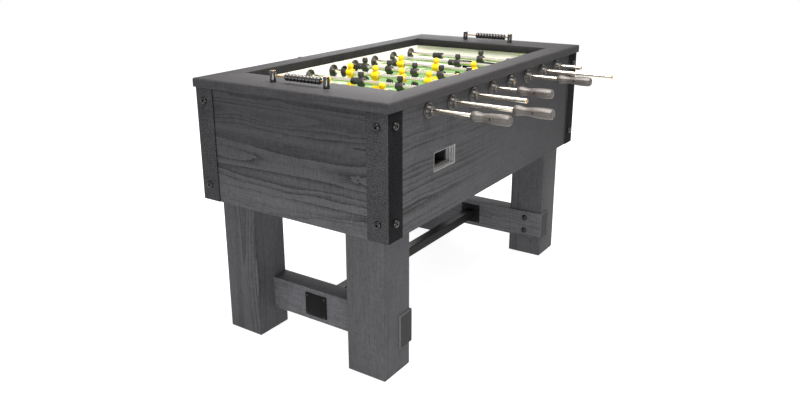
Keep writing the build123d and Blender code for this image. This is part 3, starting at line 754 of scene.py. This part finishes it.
def buildScrews():
    bm = bmesh.new()
    form = headForm(screwSize, screwSize["length"], 20)
    low, high = boxOf("bar_plates")
    inner = boxOf("stretcher_far")[0].y - bracket["thickness"]
    outer = boxOf("stretcher_far")[1].y + bracket["thickness"]
    for sx, sz in quarters():
        x = sx * (high.x - screwSize["inset"])
        z = (low.z + high.z) / 2 + sz * ((high.z - low.z) / 2 - screwSize["inset"])
        for sy in (-1, 1):
            joinInto(bm, form, at(x, sy * inner, z, turnTo((0, -sy, 0))))
            joinInto(bm, form, at(x, sy * outer, z, turnTo((0, sy, 0))))
    finishPiece("plateScrews", bm, [boltBlack], "table", ["plate_screws"])


buildBrackets()
buildPlates()
buildBolts()
buildScrews()
print("brackets, plates, bolts and screws made")

bearing = {"bore": 8.4, "disc": 24.0, "discDepth": 6.0, "sleeve": 12.0, "flange": 25.0, "ribs": 6,
           "ribHalf": 1.6, "ribFoot": 11.5, "ribTop": 19.6, "ribSlope": 4.2, "steps": 40}
panelX = boxOf("panel_right")[1].x
rodZ = (boxOf("rod_4_tube")[0].z + boxOf("rod_4_tube")[1].z) / 2
rodY = [(boxOf(f"rod_{n}_tube")[0].y + boxOf(f"rod_{n}_tube")[1].y) / 2 for n in range(1, 9)]


def bearingForm():
    bore, disc, flange = bearing["bore"], bearing["disc"], bearing["flange"]
    low, high = openX - bearing["discDepth"], boxOf("rod_bearings")[1].x
    profile = [(low, bore), (low, 11.0), (low + 1.4, 12.0), (low + 1.4, 14.0), (low, 15.0), (low, 17.8),
               (low + 1.6, 18.8), (low + 1.6, 20.6), (low + 0.3, 21.6), (low + 0.3, disc - 0.9),
               (low + 1.2, disc), (openX, disc), (openX, bearing["sleeve"]), (panelX, bearing["sleeve"]),
               (panelX, flange), (panelX + 3.6, flange), (panelX + 4.6, flange - 0.6),
               (panelX + 5.0, flange - 1.6), (panelX + 5.0, 20.5), (panelX + 4.2, 19.8),
               (panelX + 4.2, 18.4), (panelX + 5.0, 17.6),
               (panelX + 6.2, 16.2), (high - 4.0, 13.8), (high - 1.0, 13.4), (high, 12.4), (high, bore)]
    bm = spun(profile, bearing["steps"], ring=True)
    for n in range(bearing["ribs"]):
        rib = boxBetween(bm, (panelX + 3.0, -bearing["ribHalf"], bearing["ribFoot"]),
                         (high - 5.0, bearing["ribHalf"], bearing["ribTop"]))
        slope = [v for v in rib if v.co.x > high - 6 and v.co.z > 15]
        shift(bm, slope, (0, 0, -bearing["ribSlope"]))
        bmesh.ops.rotate(bm, cent=(0, 0, 0), verts=rib,
                         matrix=Matrix.Rotation(2 * math.pi * n / bearing["ribs"], 3, "X"))
    return bm


def buildBearings():
    form = bearingForm()
    bm = bmesh.new()
    for y in rodY:
        joinInto(bm, form, at(0, y, rodZ))
        joinInto(bm, form, at(0, y, rodZ, Matrix.Rotation(math.pi, 4, "Z")))
    finishPiece("rodBearings", bm, [bearingBlack], "table", ["rod_bearings"])


buildBearings()
print("bearings made")

serve = {"bore": 18.0, "tube": 20.0, "outer": 25.0, "inner": 22.0, "steps": 48}


def buildServeCup():
    low, high = boxOf("serve_cup")
    out, inn = -high.x, -low.x
    profile = [(out, serve["bore"] + 0.8), (out, serve["inner"] - 1.0), (out + 1.0, serve["inner"]),
               (out + 3.0, serve["inner"]), (out + 3.0, serve["tube"]), (inn - 3.0, serve["tube"]),
               (inn - 3.0, serve["outer"]), (inn - 1.2, serve["outer"]), (inn, serve["outer"] - 1.4),
               (inn, serve["bore"] + 1.4), (inn - 1.4, serve["bore"]), (out + 0.8, serve["bore"])]
    bm = spun(profile, serve["steps"], ring=True)
    middle = (low + high) / 2
    bmesh.ops.transform(bm, verts=bm.verts[:],
                        matrix=at(0, middle.y, middle.z, Matrix.Rotation(math.pi, 4, "Z")))
    finishPiece("serveCup", bm, [bearingBlack], "table", ["serve_cup"])


buildServeCup()

scorer = {"post": 10.0, "round": 1.5, "stud": 2.2, "studDepth": 22.0, "rod": 2.5, "capFoot": 7.6,
          "capTop": 7.0, "capSink": 0.6, "capRise": 0.5, "beadBore": 2.7, "beadRadius": 12.0,
          "beadLength": 13.8, "pitch": 14.0, "count": 10}


def buildScorerFrames():
    high = boxOf("scorer_frames")[1]
    rodHeight = (boxOf("scorer_beads_near")[0].z + boxOf("scorer_beads_near")[1].z) / 2
    middleY = (boxOf("scorer_beads_far")[0].y + boxOf("scorer_beads_far")[1].y) / 2
    post, stud, rodRadius = scorer["post"], scorer["stud"], scorer["rod"]
    centreX = high.x - post
    centres = [(sx * centreX, sy * middleY) for sx, sy in quarters()]
    bm = bmesh.new()
    for centre in centres:
        addTaper(bm, "Z", railTop, high.z, post, post, 44, centre)
    tops = [e for e in bm.edges if all(v.co.z > high.z - touch for v in e.verts)]
    bevelEdges(bm, tops, scorer["round"], 3)
    for centre in centres:
        addTaper(bm, "Z", railTop - scorer["studDepth"], railTop + 1, stud, stud, 16, centre)
    for sy in (-1, 1):
        addTaper(bm, "X", -centreX, centreX, rodRadius, rodRadius, 24, (sy * middleY, rodHeight))
    capLow, capHigh = high.z - scorer["capSink"], high.z + scorer["capRise"]
    for centre in centres:
        addTaper(bm, "Z", capLow, capHigh, scorer["capFoot"], scorer["capTop"], 36, centre)

    def onRod(spot):
        return math.hypot(abs(spot.y) - middleY, spot.z - rodHeight) < rodRadius + 0.1

    def onCap(spot):
        away = math.hypot(abs(spot.x) - centreX, abs(spot.y) - middleY)
        return spot.z > capLow - 0.1 and away < scorer["capFoot"] + 0.4

    for face in bm.faces:
        brass = any(all(test(v.co) for v in face.verts) for test in (onRod, onCap))
        face.material_index = 1 if brass else 0
    finishPiece("scorerFrames", bm, [postBlack, scorerMetal], "table", ["scorer_frames"])


def buildBeads(nodeName, body):
    low, high = boxOf(nodeName)
    half, radius, bore = scorer["beadLength"] / 2, scorer["beadRadius"], scorer["beadBore"]
    rising = [(-half, bore), (-half, 7.2), (-half + 0.8, 9.2), (-half + 2.6, 11.3), (-1.6, radius),
              (-0.9, radius - 0.5)]
    form = spun(rising + [(-x, r) for x, r in reversed(rising)], 32, ring=True)
    middle = (low + high) / 2
    bm = bmesh.new()
    for n in range(scorer["count"]):
        joinInto(bm, form, at(high.x - half - n * scorer["pitch"], middle.y, middle.z))
    finishPiece(nodeName.replace("scorer_beads", "scorerBeads"), bm, [beadBlack], body,
                [nodeName])


buildScorerFrames()
buildBeads("scorer_beads_near", "beads_near")
buildBeads("scorer_beads_far", "beads_far")
print("scorers made")

figure = {
    "headRadius": 12.3, "headLift": 25.5, "headWide": 0.97, "crownDrop": 2.0, "crownRise": 0.93,
    "crownFoot": 0.9, "crownTop": 0.78, "neckRadius": 7.0, "neckFlare": 2.4,
    "torso": (14.0, 12.6, 15.0), "hub": 13.6,
    "hubHalf": 14.6, "armLift": 10.6, "legStart": -7.0, "armReach": 19.6, "armRoot": 6.2, "armTip": 2.6,
    "hipDrop": 11.2, "hipReach": 17.6, "legTop": (11.0, 9.0), "legBottom": (7.0, 6.0), "ankle": -42.0,
    "footHalf": (12.0, 10.6), "footDrop": -55.0, "footRise": 14.0, "footTop": (0.94, 0.72, 1),
    "footSole": (1, 0.86, 1), "voxel": 1.25, "smoothing": 3, "bore": 8.02,
}


def addBall(bm, centre, size):
    made = bmesh.ops.create_uvsphere(bm, u_segments=32, v_segments=20, radius=1.0)["verts"]
    bmesh.ops.scale(bm, vec=size, verts=made)
    shift(bm, made, centre)


def figureForm(headFlat):
    # a moulded figure on the rod axis, from overlapping solids that are melted into one skin
    bm = bmesh.new()
    head = figure["headRadius"]
    lift, neck = figure["headLift"], figure["neckRadius"]
    addBall(bm, (0, 0, lift), (head * figure["headWide"], head * figure["headWide"], head))
    if headFlat:
        addTaper(bm, "Z", lift - figure["crownDrop"], lift + head * figure["crownRise"],
                 head * figure["crownFoot"], head * figure["crownTop"], 32)
    addTaper(bm, "Z", 6, lift - 6, neck + figure["neckFlare"], neck, 28)
    addBall(bm, (0, 0, 0), figure["torso"])
    addTaper(bm, "X", -figure["hubHalf"], figure["hubHalf"], figure["hub"], figure["hub"], 40)
    for sx in (-1, 1):
        addTaper(bm, "X", 0, sx * figure["armReach"], figure["armRoot"], figure["armTip"], 20,
                 (0, figure["armLift"]))
        addTaper(bm, "X", 0, sx * figure["hipReach"], figure["armRoot"], figure["armTip"], 20,
                 (0, -figure["hipDrop"]))
    (topX, topY), (lowX, lowY) = figure["legTop"], figure["legBottom"]
    leg = boxBetween(bm, (-topX, -topY, figure["ankle"]), (topX, topY, figure["legStart"]))
    low = [v for v in leg if v.co.z < figure["ankle"] + 0.1]
    bmesh.ops.scale(bm, vec=(lowX / topX, lowY / topY, 1), verts=low)
    halfX, halfY = figure["footHalf"]
    sole, instep = figure["footDrop"], figure["footDrop"] + figure["footRise"]
    foot = boxBetween(bm, (-halfX, -halfY, sole), (halfX, halfY, instep))
    bmesh.ops.scale(bm, vec=figure["footTop"], verts=[v for v in foot if v.co.z > instep - 1])
    bmesh.ops.scale(bm, vec=figure["footSole"], verts=[v for v in foot if v.co.z < sole + 1])
    holder = formObject("figureSkin", bm)
    melt = holder.modifiers.new("melt", "REMESH")
    melt.mode, melt.voxel_size, melt.adaptivity = "VOXEL", figure["voxel"], 0.0
    bm = bakedForm([holder])
    for _ in range(figure["smoothing"]):
        bmesh.ops.smooth_vert(bm, verts=bm.verts[:], factor=0.5, use_axis_x=True, use_axis_y=True,
                              use_axis_z=True)
    drill = bmesh.new()
    addTaper(drill, "X", -25, 25, figure["bore"], figure["bore"], 40)
    return cut(bm, drill)


roundHead = figureForm(False)
flatHead = figureForm(True)
print("figure forms made, faces", len(roundHead.faces), len(flatHead.faces))

rod = {"radius": 8.0, "bore": 5.5, "edge": 1.2, "steps": 40}
grip = {"length": 125.0, "sides": 8, "edge": 1.7, "socketEnd": 13.0, "screwAt": 66.0, "screwHole": 3.4,
        "screwSeat": 11.5, "screwSunk": 12.2, "ridgeFrom": 9.5}
gripScrew = {"radius": 3.2, "height": 1.2, "socket": 1.3, "depth": 0.9, "shank": 1.8, "length": 3.0}
stop = {"radius": 13.4, "length": 25.0, "ribs": 4, "ribDepth": 1.3}
bumper = {"radius": 12.5, "bore": 8.1, "length": 20.0, "ribs": 3, "ribDepth": 1.5}


def ribbedForm(size, bore):
    # a short ribbed sleeve from x = 0 to its length
    length, radius, deep = size["length"], size["radius"], size["ribDepth"]
    pitch = (length - 3.0) / size["ribs"]
    profile = [(0, bore), (0, radius - 1.2), (0.9, radius)]
    for n in range(1, size["ribs"]):
        start = 1.5 + n * pitch
        profile += [(start - 0.9, radius), (start - 0.5, radius - deep), (start + 0.7, radius - deep),
                    (start + 1.1, radius)]
    profile += [(length - 0.9, radius), (length, radius - 1.2), (length, bore)]
    return spun(profile, 40, ring=True)


def gripForm():
    # an eight-sided grip along +X with softened corners, a waist behind its front bulb and a chamfered end
    length = grip["length"]
    profile = [(0, 0), (0, 10.2), (1.2, 12.4), (4, 14.6), (8, 16.0), (14, 16.6), (20, 16.2), (28, 14.6),
               (36, 13.0), (44, 12.6), (52, 13.2), (62, 14.8), (76, 16.1), (94, 16.9), (108, 16.9),
               (118, 16.2), (121.5, 15.6), (length, 12.6), (length, 9.0), (length - 1.6, 8.2),
               (length - 1.6, 0)]
    bm = spun(profile, grip["sides"])
    bmesh.ops.rotate(bm, cent=(0, 0, 0), verts=bm.verts[:],
                     matrix=Matrix.Rotation(math.pi / grip["sides"], 3, "X"))
    ridges = [e for e in bm.edges if abs(e.verts[0].co.x - e.verts[1].co.x) > 0.5
              and min(math.hypot(v.co.y, v.co.z) for v in e.verts) > grip["ridgeFrom"]]
    bevelEdges(bm, ridges, grip["edge"], 3)
    drill = bmesh.new()
    bore, hole = rod["radius"] - 0.01, grip["screwHole"]
    addTaper(drill, "X", -1, length - grip["socketEnd"], bore, bore, rod["steps"])
    addTaper(drill, "Y", -20, -grip["screwSeat"], hole, hole, 24, (grip["screwAt"], 0))
    return cut(bm, drill)


def tubeForm(start, end):
    # hollow rod from its bare end to the end inside the handle
    sign = 1 if end > start else -1
    r, bore, edge = rod["radius"], rod["bore"], rod["edge"]
    profile = [(start, bore), (start, r - edge), (start + sign * edge, r), (end, r), (end, bore)]
    return spun(profile, rod["steps"], ring=True)


def capForm(sign):
    # the small cap pressed into the bare end; it points away from the rod
    profile = [(sign * 10.0, 0), (sign * 10.0, rod["bore"] - 0.05), (0, rod["bore"] - 0.05), (0, 7.2),
               (-sign * 1.6, 7.0), (-sign * 2.6, 5.6), (-sign * 3.0, 2.6), (-sign * 3.0, 0)]
    return spun(profile, 32)


gripShape = gripForm()
bumperShape = ribbedForm(bumper, bumper["bore"])
stopShape = ribbedForm(stop, rod["radius"] + 0.02)
screwShape = headForm(gripScrew, gripScrew["length"], 20)
figureCounts = (1, 2, 3, 5, 5, 3, 2, 1)


def buildRod(number):
    name = f"rod_{number}"
    y = rodY[number - 1]
    gripLow, gripHigh = boxOf(name + "_handle")
    tubeLow, tubeHigh = boxOf(name + "_tube")
    side = 1 if gripLow.x + gripHigh.x > 0 else -1
    bare, held = (tubeLow.x, tubeHigh.x) if side > 0 else (tubeHigh.x, tubeLow.x)
    tube = tubeForm(bare, held)
    bmesh.ops.transform(tube, verts=tube.verts[:], matrix=at(0, y, rodZ))
    finishPiece(f"rod{number}Tube", tube, [rodChrome], name, [name + "_tube"])

    cap = bmesh.new()
    joinInto(cap, capForm(side), at(bare, y, rodZ))
    finishPiece(f"rod{number}EndCap", cap, [capBrass], name)

    turn = Matrix.Identity(4) if side > 0 else Matrix.Rotation(math.pi, 4, "Z")
    front = gripLow.x if side > 0 else gripHigh.x
    handle = bmesh.new()
    joinInto(handle, gripShape, at(front, y, rodZ, turn))
    sunk = at(grip["screwAt"], -grip["screwSunk"], 0, turnTo((0, -1, 0)))
    joinInto(handle, screwShape, at(front, y, rodZ, turn) @ sunk, 1)
    finishPiece(f"rod{number}Handle", handle, [gripGrey, boltBlack], name,
                [name + "_handle"], 28)

    low, high = boxOf(name + "_figures")
    count = figureCounts[number - 1]
    middle = (low.x + high.x) / 2
    reach = (high.x - low.x) / 2 - 20 if count > 1 else 0
    shape, finish, slotName = ((roundHead, figureYellow, "figure_yellow") if side > 0
                               else (flatHead, figureBlack, "figure_black"))
    players = bmesh.new()
    for n in range(count):
        offset = -reach + 2 * reach * n / (count - 1) if count > 1 else 0
        joinInto(players, shape, at(middle + offset, y, rodZ))
    finishPiece(f"rod{number}Figures", players, [finish], name, [name + "_figures"], 60)
    if count == 1:
        stops = bmesh.new()
        joinInto(stops, stopShape, at(high.x - stop["length"], y, rodZ))
        joinInto(stops, stopShape, at(low.x, y, rodZ))
        finishPiece(f"rod{number}Stops", stops, [bumperRubber], name)

    low, high = boxOf(name + "_bumpers")
    pads = bmesh.new()
    joinInto(pads, bumperShape, at(low.x, y, rodZ))
    joinInto(pads, bumperShape, at(high.x - bumper["length"], y, rodZ))
    finishPiece(f"rod{number}Bumpers", pads, [bumperRubber], name + "_carriage",
                [name + "_bumpers"])


for number in range(1, 9):
    buildRod(number)
print("rods made")

studio = {
    "floor": 14.0, "floorTones": ((0.5, 0.5, 0.5, 1), (0.56, 0.56, 0.56, 1)), "floorGlow": 0.84,
    "skySeen": 1.0, "skyLight": 0.42, "skyGloss": 0.8,
    "cameraSpot": (1.5123, -2.3546, 1.3280), "azimuth": 34.699, "elevation": 16.852, "roll": -0.499,
    "lens": 33.66, "shiftX": 0.0190, "shiftY": -0.0386,
}


def buildFloor():
    bm = bmesh.new()
    bmesh.ops.create_grid(bm, x_segments=2, y_segments=2, size=studio["floor"] / 2)
    floor = formObject("paleFloor", bm)
    material, tree, shader, place = startMaterial("paleFloor")
    drift = noise(tree, place, (0.8, 0.8, 0.8), 2.0)
    feed(tree, shader, {
        "Base Color": blendColours(tree, drift, *studio["floorTones"]), "Roughness": 0.9,
        "Emission Color": (1, 1, 1, 1), "Emission Strength": studio["floorGlow"]})
    floor.data.materials.append(material)


def addLight(name, spot, aim, width, height, power, colour=(1, 1, 1)):
    lamp = bpy.data.lights.new(name, "AREA")
    lamp.shape, lamp.size, lamp.size_y = "RECTANGLE", width, height
    lamp.energy, lamp.color = power, colour
    holder = addObject(name, lamp)
    holder.location = spot
    holder.rotation_euler = (Vector(aim) - Vector(spot)).to_track_quat("-Z", "Y").to_euler()


def buildSky():
    world = bpy.data.worlds.new("studio")
    world.use_nodes = True
    tree = world.node_tree
    ray = put(tree, "ShaderNodeLightPath").outputs
    lit = fit(tree, ray["Is Glossy Ray"], 0.0, 1.0, studio["skyLight"], studio["skyGloss"])
    seen = times(tree, ray["Is Camera Ray"], studio["skySeen"])
    feed(tree, tree.nodes["Background"], {
        "Color": (1, 1, 1, 1), "Strength": sums(tree, "MAXIMUM", lit, seen)})
    bpy.context.scene.world = world
    bpy.context.scene.view_settings.view_transform = "Standard"   # plain colours, no film curve


def buildCamera():
    lens = bpy.data.cameras.new("view")
    lens.sensor_width, lens.lens = 36.0, studio["lens"]
    lens.shift_x, lens.shift_y = studio["shiftX"], studio["shiftY"]
    holder = addObject("view", lens)
    holder.matrix_world = (
        Matrix.Translation(studio["cameraSpot"])
        @ Matrix.Rotation(math.radians(studio["azimuth"]), 4, "Z")
        @ Matrix.Rotation(math.radians(90 - studio["elevation"]), 4, "X")
        @ Matrix.Rotation(math.radians(studio["roll"]), 4, "Z"))
    bpy.context.scene.camera = holder


buildFloor()
addLight("cornerLight", (1.7, -2.5, 0.6), (0.2, -0.6, 0.45), 1.2, 0.9, 34)
addLight("endLight", (0.2, -3.2, 0.35), (0, -0.5, 0.4), 2.0, 0.7, 14)
addLight("topLight", (0.4, -0.3, 2.6), (-0.1, 0.2, 0.75), 1.6, 1.6, 125, (1.0, 0.93, 0.88))
addLight("backLight", (-2.2, 3.2, 1.2), (0, 0.2, 0.5), 1.8, 1.2, 45)
buildSky()
buildCamera()
print("studio made")
